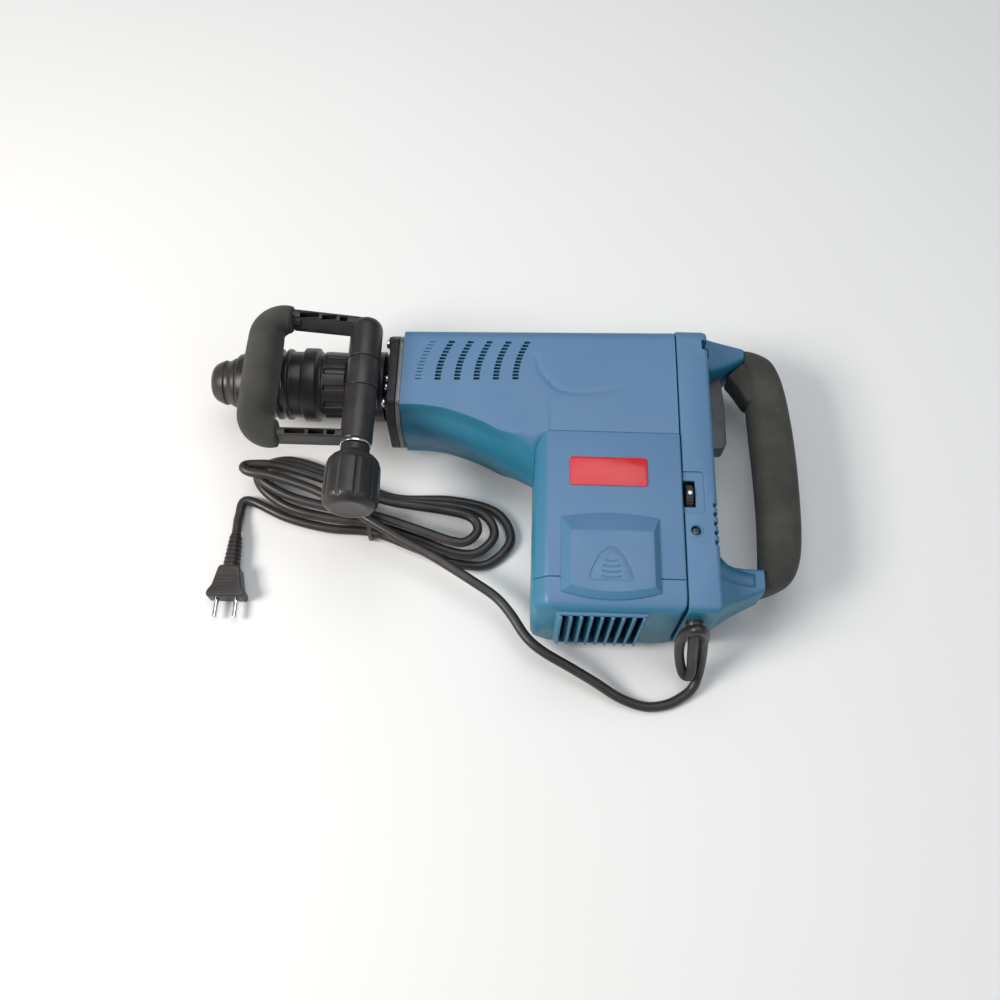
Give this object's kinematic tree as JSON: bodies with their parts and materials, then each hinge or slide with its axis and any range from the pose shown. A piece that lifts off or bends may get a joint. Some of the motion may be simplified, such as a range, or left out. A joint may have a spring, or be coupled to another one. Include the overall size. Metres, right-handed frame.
{
  "type": "demolition hammer",
  "caption": "Electric demolition hammer with a plain chisel holder, a pivoting D side handle, a soft rear loop handle and a coiled mains cord with its plug.",
  "frame": {"origin": "centre of the anvil's front face, where the chisel's shank ends, on the tool axis", "axes": "the hammer lies on its right side: +X runs back along the tool axis to the rear handle, -Y runs to the motor, +Z points out of the left side"},
  "size_m": [0.5755, 0.3572, 0.1434],
  "materials": {
    "blue_plastic": "satin moulded plastic with a fine texture",
    "black_plastic": "satin moulded plastic",
    "black_casting": "black painted casting",
    "foam_grip": "soft matte foam rubber",
    "black_rubber": "matte rubber",
    "steel": "machined steel",
    "bright_steel": "bright plated steel",
    "aluminium": "as cast aluminium",
    "motor_iron": "laminated iron",
    "copper": "copper and brass",
    "carbon": "pressed carbon",
    "red_label": "blank printed label",
    "circuit_board": "coated board"
  },
  "bodies": {
    "housing": {"main_shell_left": "blue_plastic", "main_shell_right": "blue_plastic", "motor_housing": "blue_plastic", "motor_end_cover": "blue_plastic", "brush_cap_left": "blue_plastic", "brush_cap_right": "blue_plastic", "handle_shell_left": "blue_plastic", "handle_shell_right": "blue_plastic", "rear_grip": "foam_grip", "front_cover": "black_casting", "flange_bolt_1": "bright_steel", "flange_bolt_2": "bright_steel", "flange_bolt_3": "bright_steel", "flange_bolt_4": "bright_steel", "gear_housing": "aluminium", "cylinder_tube": "steel", "stator": "motor_iron", "motor_bearing_top": "steel", "motor_bearing_bottom": "steel", "crank_bearing": "steel", "brush_holder_left": "copper", "brush_holder_right": "copper", "switch_module": "black_plastic", "speed_board": "circuit_board", "trigger_spring": "steel", "cord_grommet": "black_rubber", "power_cord": "black_rubber", "plug_body": "black_rubber", "plug_pin_1": "bright_steel", "plug_pin_2": "bright_steel", "handle_screw": "steel", "badge": "red_label"},
    "armature": {"armature_shaft": "steel", "armature_core": "motor_iron", "commutator": "copper", "fan": "black_plastic"},
    "crank": {"crank_shaft": "steel", "crank_gear": "steel"},
    "piston": {"piston": "aluminium", "piston_ring": "black_rubber", "wrist_pin": "steel"},
    "connecting_rod": {"connecting_rod": "steel"},
    "striker": {"striker": "steel", "striker_ring": "black_rubber"},
    "tool_holder": {"tool_holder": "steel", "nose_cap": "black_rubber", "sleeve_spring": "steel"},
    "anvil": {"anvil": "bright_steel"},
    "locking_sleeve": {"locking_sleeve": "black_plastic"},
    "vario_ring": {"vario_ring": "black_plastic"},
    "side_clamp": {"clamp_band": "black_plastic", "clamp_bolt": "steel"},
    "side_handle": {"d_handle_frame": "black_plastic", "d_grip": "foam_grip"},
    "knob_washer": {"knob_washer": "bright_steel"},
    "clamp_knob": {"clamp_knob": "black_plastic"},
    "trigger": {"trigger": "black_plastic"},
    "speed_dial": {"speed_dial": "black_plastic"},
    "carbon_brush_left": {"carbon_brush_left": "carbon"},
    "carbon_brush_right": {"carbon_brush_right": "carbon"}
  },
  "joints": [
    {"name": "motor_spin", "type": "hinge", "parent": "housing", "child": "armature", "pos_m": [0.308, 0, 0], "axis": [0, 1, 0], "continuous": true},
    {"name": "crank_spin", "type": "hinge", "parent": "housing", "child": "crank", "pos_m": [0.269, 0, 0], "axis": [0, 1, 0], "continuous": true},
    {"name": "piston_stroke", "type": "slide", "parent": "housing", "child": "piston", "axis": [1, 0, 0], "range_m": [0, 0.044]},
    {"name": "rod_swing", "type": "hinge", "parent": "piston", "child": "connecting_rod", "pos_m": [0.142, 0, 0], "axis": [0, 1, 0], "range_deg": [-12, 12]},
    {"name": "striker_stroke", "type": "slide", "parent": "housing", "child": "striker", "axis": [1, 0, 0], "range_m": [0, 0.0353]},
    {"name": "holder_turn", "type": "hinge", "parent": "housing", "child": "tool_holder", "pos_m": [0, 0, 0], "axis": [1, 0, 0], "continuous": true},
    {"name": "anvil_travel", "type": "slide", "parent": "tool_holder", "child": "anvil", "axis": [-1, 0, 0], "range_m": [0, 0.008]},
    {"name": "sleeve_pull", "type": "slide", "parent": "tool_holder", "child": "locking_sleeve", "axis": [1, 0, 0], "range_m": [0, 0.009], "deforming": ["sleeve_spring"]},
    {"name": "vario_pull", "type": "slide", "parent": "housing", "child": "vario_ring", "axis": [1, 0, 0], "range_m": [0, 0.005]},
    {"name": "clamp_turn", "type": "hinge", "parent": "housing", "child": "side_clamp", "pos_m": [0.077, 0, 0], "axis": [1, 0, 0], "range_deg": [-180, 0]},
    {"name": "handle_tilt", "type": "hinge", "parent": "side_clamp", "child": "side_handle", "pos_m": [0.077, 0, 0.062], "axis": [0, 1, 0], "range_deg": [0, 120]},
    {"name": "washer_back_off", "type": "slide", "parent": "side_clamp", "child": "knob_washer", "axis": [0, -1, 0], "range_m": [0, 0.0124]},
    {"name": "knob_turn", "type": "hinge", "parent": "knob_washer", "child": "clamp_knob", "pos_m": [0.077, -0.13, 0.062], "axis": [0, -1, 0], "range_deg": [0, 2520]},
    {"name": "trigger_press", "type": "hinge", "parent": "housing", "child": "trigger", "pos_m": [0.401, 0.008, 0], "axis": [0, 0, -1], "range_deg": [0, 5], "deforming": ["trigger_spring"]},
    {"name": "dial_turn", "type": "hinge", "parent": "housing", "child": "speed_dial", "pos_m": [0.3803, -0.131, 0.0395], "axis": [1, 0, 0], "range_deg": [0, 270]},
    {"name": "brush_lift_left", "type": "slide", "parent": "housing", "child": "carbon_brush_left", "axis": [0, 0, 1], "range_m": [0, 0.01]},
    {"name": "brush_lift_right", "type": "slide", "parent": "housing", "child": "carbon_brush_right", "axis": [0, 0, -1], "range_m": [0, 0.01]}
  ],
  "couplings": [
    {"joint": "crank_spin", "follows": "motor_spin", "ratio": -0.2381},
    {"joint": "striker_stroke", "follows": "piston_stroke", "ratio": 0.8},
    {"joint": "washer_back_off", "follows": "knob_turn", "m_per_rad": 0.00027852}
  ]
}
